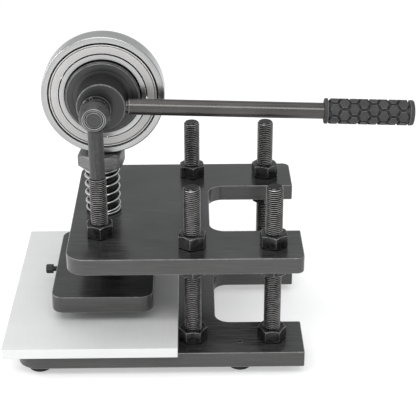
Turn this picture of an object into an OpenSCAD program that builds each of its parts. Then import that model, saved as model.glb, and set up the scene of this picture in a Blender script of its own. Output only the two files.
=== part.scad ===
// Lever-operated cam press for cutting dies.
// A base plate and a head plate sit on four threaded studs. Two eye bolts on the
// head plate carry a fixed shaft. A lever turns an eccentric hub on that shaft,
// and the ball bearing on the hub rolls on the head of a sprung plunger, which
// drives the press plate down towards the cutting board.
// Everything is drawn about the plunger's axis, then moved so that the origin is
// under the middle of the whole press, on the surface that it stands on.

/* [Base plate] */
// Height of the rubber feet
foot_h = 10; // [6:1:14]
// Thickness of the base plate
base_t = 16; // [14:1:18]
// Left end of the base plate, from the plunger's axis
base_left = -80; // [-90:1:-75]
// Right end of the base plate, from the plunger's axis
base_right = 191.2; // [186:0.1:200]
// Front-to-back width of the base plate and the head plate
plate_w = 212; // [206:1:230]

/* [Cutting board] */
// Thickness of the cutting board
board_t = 10; // [6:1:12]
// Left end of the board, from the plunger's axis
board_left = -92; // [-100:1:-82]
// Right end of the board, from the plunger's axis
board_right = 72; // [66:1:72]
// Front end of the board, from the plunger's axis
board_front = -113; // [-120:1:-106]
// Rear end of the board, from the plunger's axis
board_rear = 129; // [106:1:130]

/* [Studs and nuts] */
// Diameter of the studs and of the eye bolts' threads
thread_d = 16; // [14:1:16]
// Height of the studs' tops above the table
stud_top = 185; // [175:1:195]
// Distance between the studs' centres, left to right
stud_pitch_x = 75; // [72:1:78]
// Distance between the studs' centres, front to back
stud_pitch_y = 157; // [152:1:160]
// Distance from the plunger's axis to the nearer studs
stud_near_x = 86.5; // [86.5:0.5:90]
// Width of the nuts across their flats
nut_af = 24; // [22:1:24]
// Height of the nuts
nut_h = 13; // [10:1:13]

/* [Head plate] */
// Height of the head plate's underside above the table
head_z = 110; // [108:1:112]
// Thickness of the head plate
head_t = 16; // [14:1:16]
// Left end of the head plate, from the plunger's axis
head_left = -29; // [-32:1:-26]
// Right end of the head plate, from the plunger's axis
head_right = 188.4; // [182:0.1:192]

/* [Press plate] */
// Length of the press plate, left to right
press_l = 97; // [90:1:110]
// Width of the press plate, front to back
press_w = 140; // [120:1:160]
// Thickness of the press plate
press_t = 17; // [15:1:18]
// Gap for the cutting die, between the board and the press plate
die_gap = 13.4; // [11:0.2:15]

/* [Cam and shaft] */
// Height of the shaft's axis above the table
shaft_z = 244.6; // [243:0.1:248]
// Diameter of the shaft between the eye bolts
shaft_d = 20; // [18:1:20]
// Distance from the shaft's axis to the middle of the eccentric hub
cam_throw = 5; // [4:0.5:6]
// Angle of the hub's middle above the horizontal, seen from the front
cam_phase = 24; // [8:1:30]
// Diameter of the hub's end bosses
boss_d = 45; // [43:1:47]
// Distance from the middle of the press to each end boss's face
boss_reach = 39; // [38:1:39]

/* [Bearing] */
// Bore of the ball bearing
bearing_id = 70; // [70]
// Outer diameter of the ball bearing
bearing_od = 115; // [115]
// Width of the ball bearing
bearing_w = 20; // [20]
// Diameter of the balls
ball_d = 12.3; // [11.5:0.1:12.5]
// Number of balls
ball_count = 13; // [9:1:15]

/* [Lever] */
// Distance from the hub's middle to the outer end of the grip
lever_reach = 287; // [260:1:320]
// Angle of the lever below the horizontal at rest
lever_droop = 1.85; // [0:0.05:4]
// Distance of the lever's axis below the hub's middle
lever_drop = 2.8; // [0:0.1:4]
// Diameter of the lever's rod
rod_d = 15; // [14:0.5:16]
// Diameter of the grip
grip_d = 23.6; // [22:0.1:30]
// Length of the grip
grip_l = 83; // [70:1:100]

/* [Plunger and spring] */
// Diameter of the plunger's shank
plunger_d = 28; // [26:1:28]
// Width of the plunger's hexagonal head across its flats
plunger_af = 41; // [38:1:44]
// Height of the plunger's hexagonal head
plunger_head_h = 15; // [13:1:16]
// Wire diameter of the return spring
spring_wire = 2.4; // [2:0.1:2.6]
// Mean diameter of the return spring's coils
spring_mean_d = 32; // [31:0.5:33]
// Number of working coils, without the closed coil at each end
spring_coils = 4.5; // [4:0.5:5]

/* [Hidden] */
$fn = 96;

// Colours
plate_colour = [0.26, 0.26, 0.27];
black_oxide = [0.16, 0.16, 0.17];
bright_steel = [0.78, 0.78, 0.78];
rubber_colour = [0.08, 0.08, 0.08];

// Heights
base_top = foot_h + base_t;
board_top = base_top + board_t;
press_z = board_top + die_gap;
press_top = press_z + press_t;
head_top = head_z + head_t;

// Clearances on the radius: held tight, running and passed through freely
held_gap = 0.02;
running_gap = 0.05;
free_gap = 0.75;
// Passing an edge of a cut just beyond a face
over = 1;

// Studs and nuts
thread_r = thread_d / 2;
nut_bore_r = thread_r + running_gap;
stud_chamfer = 1.5;
stud_far_x = stud_near_x + stud_pitch_x;
stud_y = stud_pitch_y / 2;
stud_places = [for (x = [stud_near_x, stud_far_x], y = [-stud_y, stud_y]) [x, y]];
// Round flat face left on a hexagon's end, as a share of its width across flats
hexagon_face_share = 0.94;
// How far each upper nut is turned when tight, in the order of stud_places
upper_nut_turns = [-9, 4.6, 6, 12];

// Plate outlines
base_left_round = 20;
base_right_round = 1.5;
base_notch_x = 108;
head_left_round = 18;
head_right_round = 7;
head_notch_x = 103;
notch_half_w = 50;
notch_round = 14.5;
press_round = 12;

// Feet and their screws
foot_r = 11.6;
foot_places = [for (x = [-60, 131], y = [-85.5, 85.5]) [x, y]];
foot_screw_r = 2.5;
foot_screw_head_r = 4.8;
foot_screw_head_h = 3;
foot_recess_r = 5.2;
foot_recess_h = 4;
foot_screw_top = base_top - 0.4;

// Eye bolts
eye_y = 55;
eye_r = 14.5;
eye_w = 20;
eye_bore_r = 8;
eye_shank_r = 7.1;
eye_thread_top = 185;
eye_thread_bottom = 88;
eye_nut_turn = 36;

// Shaft, circlips and thrust washers
shaft_r = shaft_d / 2;
shaft_end_y = eye_y + eye_w / 2;
shaft_shoulder_y = eye_y - eye_w / 2 - 0.6;
shaft_end_chamfer = 0.8;
washer_y = boss_reach + 0.1;
washer_t = 1.5;
washer_r = 14;
circlip_y = washer_y + washer_t + 0.1;
circlip_t = 1.2;
circlip_inner_r = shaft_r - 0.7;
circlip_outer_r = shaft_r + 1.9;
circlip_lug_angle = 123;
circlip_lug_spread = 15;
circlip_lug_r = 2;
circlip_gap_angle = 8;

// Eccentric hub
cam_x = cam_throw * cos(cam_phase);
cam_z = shaft_z + cam_throw * sin(cam_phase);
hub_r = bearing_id / 2;
hub_half_w = 15;
hub_chamfer = 1.2;
boss_r = boss_d / 2;

// Ball bearing
bearing_r = bearing_od / 2;
bearing_half_w = bearing_w / 2;
ball_r = ball_d / 2;
inner_land_r = 40.5;
outer_land_r = 50;
ball_pitch_r = (inner_land_r + outer_land_r) / 2;
groove_r = ball_r + 0.2;
shield_seat_r = 50.6;
shield_seat_depth = 2;
shield_outer_r = shield_seat_r - running_gap;
shield_inner_r = inner_land_r + 0.35;
shield_t = 0.8;
shield_recess = 0.6;
shield_step = 0.4;
ring_chamfer = 0.9;
cage_half_w = 7.6;
cage_half_t = 1.6;

// Lever: it stands in the front boss, halfway along it
lever_y = (hub_half_w + boss_reach) / 2;
spigot_r = 6;
spigot_start = 8;
rod_start = boss_r + 1.6;
rod_end = lever_reach - 5;
rod_chamfer = 1;
grip_start = lever_reach - grip_l;
grip_r = grip_d / 2;

// Plunger: its head stands just clear of the bearing
bearing_gap = 0.6;
plunger_top = cam_z - bearing_r - bearing_gap;
plunger_head_z = plunger_top - plunger_head_h;
plunger_r = plunger_d / 2;
plunger_turn = 20;
plunger_spigot_r = 10;
plunger_spigot_l = 13;
clamp_screw_z = press_z + press_t / 2 + 1.6;
clamp_screw_r = 2.5;
clamp_head_r = 4.6;
clamp_head_l = 7;
clamp_neck_l = 4.6;
clamp_socket_af = 4;

// Return spring
spring_r = spring_mean_d / 2;
spring_seat_gap = 0.1;
spring_z = head_top + spring_wire / 2 + spring_seat_gap;
spring_rise = plunger_head_z - spring_wire / 2 - spring_seat_gap - spring_z;
spring_turns = spring_coils + 2;
spring_steps = 18;
wire_sides = 8;

// The origin is under the middle of the whole press
lever_tip_x = cam_x + lever_reach * cos(lever_droop);
origin_x = (board_left + lever_tip_x) / 2;
origin_y = (board_front + board_rear) / 2;

// ---- Where things go ----

module at_plunger_axis() {
    translate([-origin_x, -origin_y, 0]) children();
}

// Along the shaft: local z points to the front and local y points up
module at_shaft() {
    at_plunger_axis() translate([0, 0, shaft_z]) rotate([90, 0, 0]) children();
}

// The same about the hub's middle
module at_cam() {
    at_plunger_axis() translate([cam_x, 0, cam_z]) rotate([90, 0, 0]) children();
}

// Along the lever: local z points from below the hub's middle to the grip
module at_lever() {
    at_cam() translate([0, -lever_drop, lever_y]) rotate([0, 0, -lever_droop]) rotate([0, 90, 0]) children();
}

// Front or rear copy of a piece drawn at the front end of the shaft
module at_end(front) {
    if (front) children();
    else mirror([0, 0, 1]) children();
}

// ---- Shared shapes ----

// Solid of revolution from (radius, height) points
module turned(points) {
    rotate_extrude() polygon(points);
}

// Rectangle with one radius on its left corners and another on its right ones
module rounded_plate(left, right, half_w, left_round, right_round) {
    for (side = [-1, 1]) {
        translate([left + left_round, side * (half_w - left_round)]) circle(left_round);
        translate([right - right_round, side * (half_w - right_round)]) circle(right_round);
    }
    translate([left + left_round, -half_w])
        square([right - right_round - left - left_round, 2 * half_w]);
    translate([left, -half_w + left_round])
        square([left_round, 2 * (half_w - left_round)]);
    translate([right - right_round, -half_w + right_round])
        square([right_round, 2 * (half_w - right_round)]);
}

// Notch with round inner corners, open to the right
module notch(left, right) {
    inner_half_w = notch_half_w - notch_round;
    for (side = [-1, 1])
        translate([left + notch_round, side * inner_half_w]) circle(notch_round);
    translate([left, -inner_half_w]) square([notch_round + over, 2 * inner_half_w]);
    translate([left + notch_round, -notch_half_w])
        square([right - left, 2 * notch_half_w]);
}

// Round holes at a list of places
module holes(places, radius) {
    for (place = places)
        translate(place) circle(radius);
}

// Hexagonal prism with its corners turned down at both ends
module hexagon(across_flats, height) {
    corner_r = across_flats / 2 / cos(30);
    chamfer_r = across_flats * hexagon_face_share / 2;
    drop = (corner_r - chamfer_r) * tan(30);
    intersection() {
        cylinder(r = corner_r, h = height, $fn = 6);
        turned([[0, 0], [chamfer_r, 0], [corner_r, drop], [corner_r, height - drop],
                [chamfer_r, height], [0, height]]);
    }
}

// Hexagonal nut standing on its lower face
module nut(turn = 0) {
    mouth = 0.8;
    rotate(turn) difference() {
        hexagon(nut_af, nut_h);
        turned([[0, -over], [nut_bore_r + mouth + over, -over], [nut_bore_r, mouth],
                [nut_bore_r, nut_h - mouth], [nut_bore_r + mouth + over, nut_h + over],
                [0, nut_h + over]]);
    }
}

// Four nuts on the studs with their lower faces at one height
module stud_nuts(z, turns) {
    color(black_oxide) at_plunger_axis()
        for (i = [0:3])
            translate([stud_places[i][0], stud_places[i][1], z]) nut(turns[i]);
}

// A nut on each eye bolt
module eye_bolt_nuts(z, turn) {
    color(black_oxide) at_plunger_axis()
        for (side = [-1, 1])
            translate([0, side * eye_y, z]) nut(turn);
}

// ---- Base ----

module base_plate() {
    color(plate_colour) at_plunger_axis() translate([0, 0, foot_h])
        linear_extrude(base_t) difference() {
            rounded_plate(base_left, base_right, plate_w / 2, base_left_round, base_right_round);
            notch(base_notch_x, base_right);
            holes(stud_places, thread_r + held_gap);
            holes(foot_places, foot_screw_r + held_gap);
        }
}

// Tapered feet, each with a recess from below for its screw's head
module rubber_feet() {
    bore_r = foot_screw_r + 0.2;
    color(rubber_colour) at_plunger_axis()
        for (place = foot_places)
            translate(place)
                turned([[foot_recess_r, 0], [foot_r - 1.6, 0], [foot_r - 0.6, 0.8], [foot_r, foot_h],
                        [bore_r, foot_h], [bore_r, foot_recess_h], [foot_recess_r, foot_recess_h]]);
}

module foot_screws() {
    head_z0 = foot_recess_h - foot_screw_head_h;
    color(black_oxide) at_plunger_axis()
        for (place = foot_places)
            translate(place)
                turned([[0, head_z0], [foot_screw_head_r - 1, head_z0],
                        [foot_screw_head_r, head_z0 + 1], [foot_screw_head_r, foot_recess_h],
                        [foot_screw_r, foot_recess_h], [foot_screw_r, foot_screw_top],
                        [0, foot_screw_top]]);
}

// One stud, with its lower end flush with the base plate's underside
module column_stud(x, y) {
    tip_r = thread_r - stud_chamfer;
    color(black_oxide) at_plunger_axis() translate([x, y, 0])
        turned([[0, foot_h], [tip_r, foot_h], [thread_r, foot_h + stud_chamfer],
                [thread_r, stud_top - stud_chamfer], [tip_r, stud_top], [0, stud_top]]);
}

module base_lock_nuts() {
    stud_nuts(base_top, [0, 0, 0, 0]);
}

module cutting_board() {
    color([0.86, 0.86, 0.85]) at_plunger_axis()
        translate([board_left, board_front, base_top])
            cube([board_right - board_left, board_rear - board_front, board_t]);
}

// ---- Head plate and what is fixed to it ----

module head_plate() {
    eye_places = [[0, -eye_y], [0, eye_y]];
    color(plate_colour) at_plunger_axis() translate([0, 0, head_z])
        linear_extrude(head_t) difference() {
            rounded_plate(head_left, head_right, plate_w / 2, head_left_round, head_right_round);
            notch(head_notch_x, head_right);
            holes(stud_places, thread_r + free_gap);
            holes(eye_places, thread_r + 0.25);
            circle(plunger_r + running_gap);
        }
}

module lower_plate_nuts() {
    stud_nuts(head_z - nut_h, [30, 30, 30, 30]);
}

module upper_plate_nuts() {
    stud_nuts(head_top, [for (turn = upper_nut_turns) 30 + turn]);
}

module eye_bolt_upper_nuts() {
    eye_bolt_nuts(head_top, eye_nut_turn);
}

module eye_bolt_lower_nuts() {
    eye_bolt_nuts(head_z - nut_h, 0);
}

// Ball-shaped eye with two flats, a plain shank and a thread at the bottom
module eye_bolt(y) {
    tip_r = thread_r - stud_chamfer;
    color(black_oxide) at_plunger_axis() translate([0, y, 0]) difference() {
        union() {
            intersection() {
                translate([0, 0, shaft_z]) sphere(eye_r);
                translate([-eye_r, -eye_w / 2, shaft_z - eye_r])
                    cube([2 * eye_r, eye_w, 2 * eye_r]);
            }
            turned([[0, eye_thread_bottom], [tip_r, eye_thread_bottom],
                    [thread_r, eye_thread_bottom + stud_chamfer], [thread_r, eye_thread_top],
                    [eye_shank_r, eye_thread_top + 1], [eye_shank_r, shaft_z - eye_bore_r],
                    [0, shaft_z - eye_bore_r]]);
        }
        translate([0, 0, shaft_z]) rotate([90, 0, 0])
            cylinder(r = eye_bore_r + held_gap, h = eye_w + 2 * over, center = true);
    }
}

// Fixed shaft: thick between the eyes, thinner in them, grooved for the circlips
module cam_shaft() {
    half = [
        [shaft_r, circlip_y], [circlip_inner_r, circlip_y],
        [circlip_inner_r, circlip_y + circlip_t], [shaft_r, circlip_y + circlip_t],
        [shaft_r, shaft_shoulder_y], [eye_bore_r, shaft_shoulder_y],
        [eye_bore_r, shaft_end_y - shaft_end_chamfer],
        [eye_bore_r - shaft_end_chamfer, shaft_end_y]
    ];
    other_half = [for (i = [len(half) - 1:-1:0]) [half[i][0], -half[i][1]]];
    color(bright_steel) at_shaft()
        turned(concat([[0, -shaft_end_y]], other_half, half, [[0, shaft_end_y]]));
}

// Open ring in the shaft's groove, with a drilled lug on each side of its gap
module circlip(front) {
    clip_z = circlip_y + held_gap;
    clip_t = circlip_t - 2 * held_gap;
    lug_place_r = circlip_outer_r - 0.3;
    lug_hole_r = 0.8;
    color(black_oxide) at_shaft() at_end(front) translate([0, 0, clip_z]) linear_extrude(clip_t)
        rotate(circlip_lug_angle) difference() {
            union() {
                circle(circlip_outer_r);
                for (side = [-1, 1])
                    rotate(side * circlip_lug_spread) translate([lug_place_r, 0]) circle(circlip_lug_r);
            }
            circle(circlip_inner_r + held_gap);
            polygon([[0, 0], for (side = [-1, 1])
                2 * circlip_outer_r * [cos(circlip_gap_angle), side * sin(circlip_gap_angle)]]);
            for (side = [-1, 1])
                rotate(side * circlip_lug_spread) translate([lug_place_r, 0]) circle(lug_hole_r);
        }
}

module thrust_washer(front) {
    color(bright_steel) at_shaft() at_end(front) translate([0, 0, washer_y])
        linear_extrude(washer_t) difference() {
            circle(washer_r);
            circle(shaft_r + 0.1);
        }
}

// Height of the wire's middle after a number of turns: a closed coil at each end
// rises by one wire diameter, and the working coils share the rest
function spring_height(turns) =
    let (working_pitch = (spring_rise - 2 * spring_wire) / spring_coils)
    spring_z + spring_wire * min(turns, 1)
    + working_pitch * max(0, min(turns - 1, spring_coils))
    + spring_wire * max(0, turns - 1 - spring_coils);

// Right-handed coil: rings of points round the wire, skinned and capped
module return_spring() {
    rings = spring_turns * spring_steps;
    points = [
        for (i = [0:rings], j = [0:wire_sides - 1])
            let (turns = i / spring_steps, a = 360 * turns, b = 360 * j / wire_sides)
            [(spring_r + spring_wire / 2 * cos(b)) * cos(a),
             (spring_r + spring_wire / 2 * cos(b)) * sin(a),
             spring_height(turns) + spring_wire / 2 * sin(b)]
    ];
    skin = [
        for (i = [0:rings - 1], j = [0:wire_sides - 1])
            let (k = (j + 1) % wire_sides)
            [i * wire_sides + j, i * wire_sides + k,
             (i + 1) * wire_sides + k, (i + 1) * wire_sides + j]
    ];
    first_cap = [[for (j = [wire_sides - 1:-1:0]) j]];
    last_cap = [[for (j = [0:wire_sides - 1]) rings * wire_sides + j]];
    color(bright_steel) at_plunger_axis()
        polyhedron(points = points, faces = concat(skin, first_cap, last_cap));
}

// ---- Cam and lever ----

// One turned piece: a disc for the bearing between two bosses, bored off centre
// for the shaft, with a tapped socket for the lever in the front boss
module eccentric_hub() {
    edge_r = hub_r - held_gap;
    half = [
        [edge_r, hub_half_w - hub_chamfer], [edge_r - hub_chamfer, hub_half_w],
        [boss_r, hub_half_w], [boss_r, boss_reach - 1], [boss_r - 1, boss_reach]
    ];
    other_half = [for (i = [len(half) - 1:-1:0]) [half[i][0], -half[i][1]]];
    color(plate_colour) difference() {
        at_cam() turned(concat([[0, -boss_reach]], other_half, half, [[0, boss_reach]]));
        at_shaft() cylinder(r = shaft_r + running_gap, h = 2 * (boss_reach + over), center = true);
        at_lever() translate([0, 0, spigot_start - 0.3]) cylinder(r = spigot_r + held_gap, h = boss_r);
    }
}

module bearing_inner_ring() {
    c = ring_chamfer;
    w = bearing_half_w;
    color(bright_steel) at_cam() rotate_extrude() difference() {
        polygon([[hub_r, -w + c], [hub_r + c, -w], [inner_land_r, -w], [inner_land_r, w],
                 [hub_r + c, w], [hub_r, w - c]]);
        translate([ball_pitch_r, 0]) circle(groove_r);
    }
}

module lever_rod() {
    color([0.3, 0.29, 0.28]) at_lever()
        turned([[0, spigot_start], [spigot_r - 1, spigot_start], [spigot_r, spigot_start + 1],
                [spigot_r, rod_start], [rod_d / 2 - rod_chamfer, rod_start],
                [rod_d / 2, rod_start + rod_chamfer], [rod_d / 2, rod_end - rod_chamfer],
                [rod_d / 2 - rod_chamfer, rod_end], [0, rod_end]]);
}

// Rubber sleeve closed at its outer end, with a thicker band at both ends
module lever_grip() {
    waist_r = grip_r - 0.8;
    bore_r = rod_d / 2 + held_gap;
    color(rubber_colour) at_lever()
        turned([[bore_r, grip_start], [grip_r - 1, grip_start], [grip_r, grip_start + 1],
                [grip_r, grip_start + 3.4], [waist_r, grip_start + 4.2],
                [waist_r, lever_reach - 8], [grip_r, lever_reach - 7],
                [grip_r, lever_reach - 2], [grip_r - 2, lever_reach], [0, lever_reach],
                [0, rod_end + 0.1], [bore_r, rod_end + 0.1]]);
}

// ---- Bearing pieces that roll on the hub's ring ----

module bearing_outer_ring() {
    c = ring_chamfer;
    w = bearing_half_w;
    seat = w - shield_seat_depth;
    color(bright_steel) at_cam() rotate_extrude() difference() {
        polygon([[outer_land_r, -seat], [shield_seat_r, -seat], [shield_seat_r, -w],
                 [bearing_r - c, -w], [bearing_r, -w + c], [bearing_r, w - c],
                 [bearing_r - c, w], [shield_seat_r, w], [shield_seat_r, seat],
                 [outer_land_r, seat]]);
        translate([ball_pitch_r, 0]) circle(groove_r);
    }
}

// Pressed sheet disc: a flat face with a step down to a rim that is crimped in
module bearing_shield(front) {
    face = bearing_half_w - shield_recess;
    back = face - shield_t;
    step_r = shield_outer_r - 1.6;
    rim_r = shield_outer_r - 0.6;
    color([0.86, 0.85, 0.82]) at_cam() at_end(front)
        turned([[shield_inner_r, back], [shield_inner_r, face], [step_r, face],
                [step_r + shield_step, face - shield_step], [rim_r, face - shield_step],
                [rim_r, face + shield_step], [shield_outer_r, face + shield_step],
                [shield_outer_r, back - shield_step], [step_r + shield_step / 2, back - shield_step],
                [step_r - shield_step / 2, back]]);
}

module bearing_balls() {
    color(bright_steel) at_cam()
        for (i = [0:ball_count - 1])
            rotate(360 * i / ball_count) translate([ball_pitch_r, 0, 0]) sphere(ball_r);
}

// Ring with a round pocket through it for each ball
module bearing_cage() {
    color([0.6, 0.6, 0.6]) at_cam() difference() {
        rotate_extrude() translate([ball_pitch_r - cage_half_t, -cage_half_w])
            square([2 * cage_half_t, 2 * cage_half_w]);
        for (i = [0:ball_count - 1])
            rotate(360 * i / ball_count) translate([ball_pitch_r, 0, 0]) rotate([0, 90, 0])
                cylinder(r = groove_r, h = 4 * cage_half_t, center = true);
    }
}

// ---- Plunger and press plate ----

// Hexagonal head, plain shank and a thinner spigot that the press plate takes
module plunger() {
    color(plate_colour) at_plunger_axis() rotate(plunger_turn) {
        translate([0, 0, plunger_head_z]) hexagon(plunger_af, plunger_head_h);
        turned([[0, press_top - plunger_spigot_l], [plunger_spigot_r - 1, press_top - plunger_spigot_l],
                [plunger_spigot_r, press_top - plunger_spigot_l + 1], [plunger_spigot_r, press_top],
                [plunger_r, press_top], [plunger_r, plunger_head_z + over], [0, plunger_head_z + over]]);
    }
}

module press_plate() {
    half_l = press_l / 2;
    color(plate_colour) at_plunger_axis() difference() {
        translate([0, 0, press_z]) linear_extrude(press_t)
            rounded_plate(-half_l, half_l, press_w / 2, press_round, press_round);
        translate([0, 0, press_top - plunger_spigot_l])
            cylinder(r = plunger_spigot_r + held_gap, h = plunger_spigot_l + over);
        translate([0, 0, clamp_screw_z]) rotate([0, -90, 0])
            cylinder(r = clamp_screw_r + held_gap, h = half_l + over);
    }
}

// Socket-head screw in the press plate's left edge, tight on the plunger's spigot
module plunger_clamp_screw() {
    tip = plunger_spigot_r + 0.1;
    neck = press_l / 2 + clamp_neck_l;
    head_end = neck + clamp_head_l;
    color(black_oxide) at_plunger_axis() translate([0, 0, clamp_screw_z]) rotate([0, -90, 0])
        difference() {
            turned([[0, tip], [clamp_screw_r, tip], [clamp_screw_r, neck], [clamp_head_r, neck],
                    [clamp_head_r, head_end - 0.5], [clamp_head_r - 0.5, head_end], [0, head_end]]);
            translate([0, 0, head_end - 3])
                cylinder(r = clamp_socket_af / 2 / cos(30), h = 3 + over, $fn = 6);
        }
}

// ---- Nodes ----

base_plate();
rubber_feet();
foot_screws();
column_stud(stud_near_x, -stud_y);  // column_stud_front_left
column_stud(stud_far_x, -stud_y);  // column_stud_front_right
column_stud(stud_near_x, stud_y);  // column_stud_rear_left
column_stud(stud_far_x, stud_y);  // column_stud_rear_right
base_lock_nuts();
head_plate();
lower_plate_nuts();
upper_plate_nuts();
eye_bolt(-eye_y);  // eye_bolt_front
eye_bolt(eye_y);  // eye_bolt_rear
eye_bolt_upper_nuts();
eye_bolt_lower_nuts();
cam_shaft();
circlip(true);  // circlip_front
circlip(false);  // circlip_rear
thrust_washer(true);  // thrust_washer_front
thrust_washer(false);  // thrust_washer_rear
return_spring();
eccentric_hub();
bearing_inner_ring();
lever_rod();
lever_grip();
bearing_outer_ring();
bearing_shield(true);  // bearing_shield_front
bearing_shield(false);  // bearing_shield_rear
bearing_balls();
bearing_cage();
plunger();
press_plate();
plunger_clamp_screw();
cutting_board();
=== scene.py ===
"""Looks for the tabletop cam press: detailed meshes, procedural materials, studio light and camera.

Shapes are worked out in millimetres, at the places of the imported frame, and become metres when a
mesh is made. Materials, lights and the floor are in metres.
"""
import math

import bmesh
import bpy
from mathutils import Matrix, Vector
from mathutils.kdtree import KDTree


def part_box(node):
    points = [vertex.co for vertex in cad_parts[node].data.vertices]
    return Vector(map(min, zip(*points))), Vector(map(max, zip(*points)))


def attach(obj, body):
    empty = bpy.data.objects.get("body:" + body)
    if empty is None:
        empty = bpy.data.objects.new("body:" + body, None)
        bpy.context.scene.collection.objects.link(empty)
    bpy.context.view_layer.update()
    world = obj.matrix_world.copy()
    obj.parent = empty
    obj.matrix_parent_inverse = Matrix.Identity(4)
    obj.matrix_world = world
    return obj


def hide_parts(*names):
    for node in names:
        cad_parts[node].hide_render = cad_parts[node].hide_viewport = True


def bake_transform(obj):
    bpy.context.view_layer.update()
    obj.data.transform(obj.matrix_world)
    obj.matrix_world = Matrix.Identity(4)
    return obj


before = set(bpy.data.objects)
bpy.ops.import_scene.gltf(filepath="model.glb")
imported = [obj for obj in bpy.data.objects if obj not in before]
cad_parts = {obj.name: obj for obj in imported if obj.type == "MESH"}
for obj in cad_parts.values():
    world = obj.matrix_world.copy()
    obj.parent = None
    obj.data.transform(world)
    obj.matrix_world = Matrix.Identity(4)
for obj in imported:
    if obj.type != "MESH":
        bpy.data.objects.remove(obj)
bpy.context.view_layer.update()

MM = 0.001
SHARP_ANGLE = 32

# Points closer than these, in millimetres, are one point
WELD = 1e-3
FINE_WELD = 1e-4
BOOLEAN_WELD = 2e-3


# ---- Places, in millimetres, read from the frame ----

def low(node):
    return Vector(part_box(node)[0]) / MM


def high(node):
    return Vector(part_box(node)[1]) / MM


def middle(node):
    return (low(node) + high(node)) / 2


PRESS_X = middle("press_plate").x
PRESS_Y = middle("press_plate").y
SHAFT = middle("cam_shaft")
HUB = middle("bearing_outer_ring")
BASE_TOP = high("base_plate").z
HEAD_BOTTOM = low("head_plate").z
HEAD_TOP = high("head_plate").z
FOOT_R = 11.6
FOOT_SCREW_R = 2.5
FOOT_PLACES = [(x, y) for x in (low("rubber_feet").x + FOOT_R, high("rubber_feet").x - FOOT_R)
               for y in (low("rubber_feet").y + FOOT_R, high("rubber_feet").y - FOOT_R)]
STUD_NODES = ["column_stud_" + at for at in ("front_left", "rear_left", "front_right", "rear_right")]
EYE_BOLT_NODES = ["eye_bolt_front", "eye_bolt_rear"]
BEARING_R = (high("bearing_outer_ring") - low("bearing_outer_ring")).x / 2
BEARING_HALF_WIDTH = 10
BALL_PITCH_R = 45.25
BALL_R = 6.35
PLUNGER_R = 14
SPIGOT_R = 10
PLUNGER_HEAD_H = 15
PLUNGER_HEAD_Z = high("plunger").z - PLUNGER_HEAD_H
SHAFT_R = 10
EYE_BORE_R = 8.02
EYE_HALF_WIDTH = 10

# Spans along the shaft, from its middle
WASHER_SPAN = (39.1, 40.6)
CIRCLIP_GROOVE = (40.7, 41.9)

# The lever's axis leaves the hub just below its middle and falls a little towards the grip
LEVER_DROOP = math.radians(1.85)
LEVER_REACH = 287
ROD_START, ROD_END = 24.1, LEVER_REACH - 5
ROD_R = 7.5
ROD_TIP, ROD_TIP_R = 8, 6
LEVER_Y = middle("lever_rod").y
LEVER_Z = middle("lever_rod").z + (ROD_START + 1 + ROD_END) / 2 * math.sin(LEVER_DROOP)
GRIP_LENGTH = 83
GRIP_R = (high("lever_grip") - low("lever_grip")).y / 2

# Metric thread and nut sizes of the columns and the eye bolts
THREAD_R = 8
THREAD_PITCH = 2
THREAD_DEPTH = 1.1
NUT_AF = 24
NUT_H = 13


def along_shaft(at):
    """Local z points to the front, local y up, about a point on the shaft's or the hub's axis."""
    return Matrix.Translation(at) @ Matrix.Rotation(math.pi / 2, 4, "X")


def along_lever():
    """Local z points from the hub to the grip."""
    at = Vector((HUB.x, LEVER_Y, LEVER_Z))
    return Matrix.Translation(at) @ Matrix.Rotation(math.pi / 2 + LEVER_DROOP, 4, "Y")


def upright(x, y, z=0, turn=0):
    return Matrix.Translation((x, y, z)) @ Matrix.Rotation(math.radians(turn), 4, "Z")


# ---- Mesh helpers ----

def make_object(name, verts, faces, place, sharp=SHARP_ANGLE, weighted=True, wear_and_highlight=()):
    """Closed mesh from millimetre points, shaded smooth below the sharp angle.
    The last argument holds a number for each point, 1 on edges that get a lighter tone: partly real
    scuffing, partly a painted highlight."""
    bm, _ = wear_and_highlight_bmesh(verts, faces, wear_and_highlight)
    bmesh.ops.remove_doubles(bm, verts=bm.verts, dist=WELD)
    bmesh.ops.dissolve_degenerate(bm, edges=bm.edges, dist=FINE_WELD)
    bmesh.ops.recalc_face_normals(bm, faces=bm.faces)
    bm.transform(Matrix.Scale(MM, 4) @ place)
    return link_mesh(name, bm, sharp, weighted)


def wear_and_highlight_bmesh(verts, faces, wear_and_highlight):
    """New bmesh of the points and faces, with a layer of edge values for scuffing and painted highlights.
    """
    bm = bmesh.new()
    layer = bm.verts.layers.float.new("wear_and_highlight")
    made = [bm.verts.new(v) for v in verts]
    for vert, share in zip(made, wear_and_highlight):
        vert[layer] = share
    for face in faces:
        bm.faces.new([made[i] for i in face])
    return bm, layer


def link_mesh(name, bm, sharp=SHARP_ANGLE, weighted=True):
    mesh = bpy.data.meshes.new(name)
    bm.to_mesh(mesh)
    bm.free()
    smooth(mesh, sharp)
    obj = bpy.data.objects.new(name, mesh)
    bpy.context.scene.collection.objects.link(obj)
    if weighted:
        add_weighted_normals(obj)
    return obj


def smooth(mesh, sharp):
    mesh.polygons.foreach_set("use_smooth", [True] * len(mesh.polygons))
    mesh.set_sharp_from_angle(angle=math.radians(sharp))


def add_weighted_normals(obj):
    modifier = obj.modifiers.new("normals", "WEIGHTED_NORMAL")
    modifier.keep_sharp = True
    modifier.weight = 60


def join(name, objects):
    """Joins separate solids of one node into one object."""
    bpy.ops.object.select_all(action="DESELECT")
    for obj in objects:
        obj.select_set(True)
    bpy.context.view_layer.objects.active = objects[0]
    bpy.ops.object.join()
    objects[0].name = name
    return objects[0]


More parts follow.
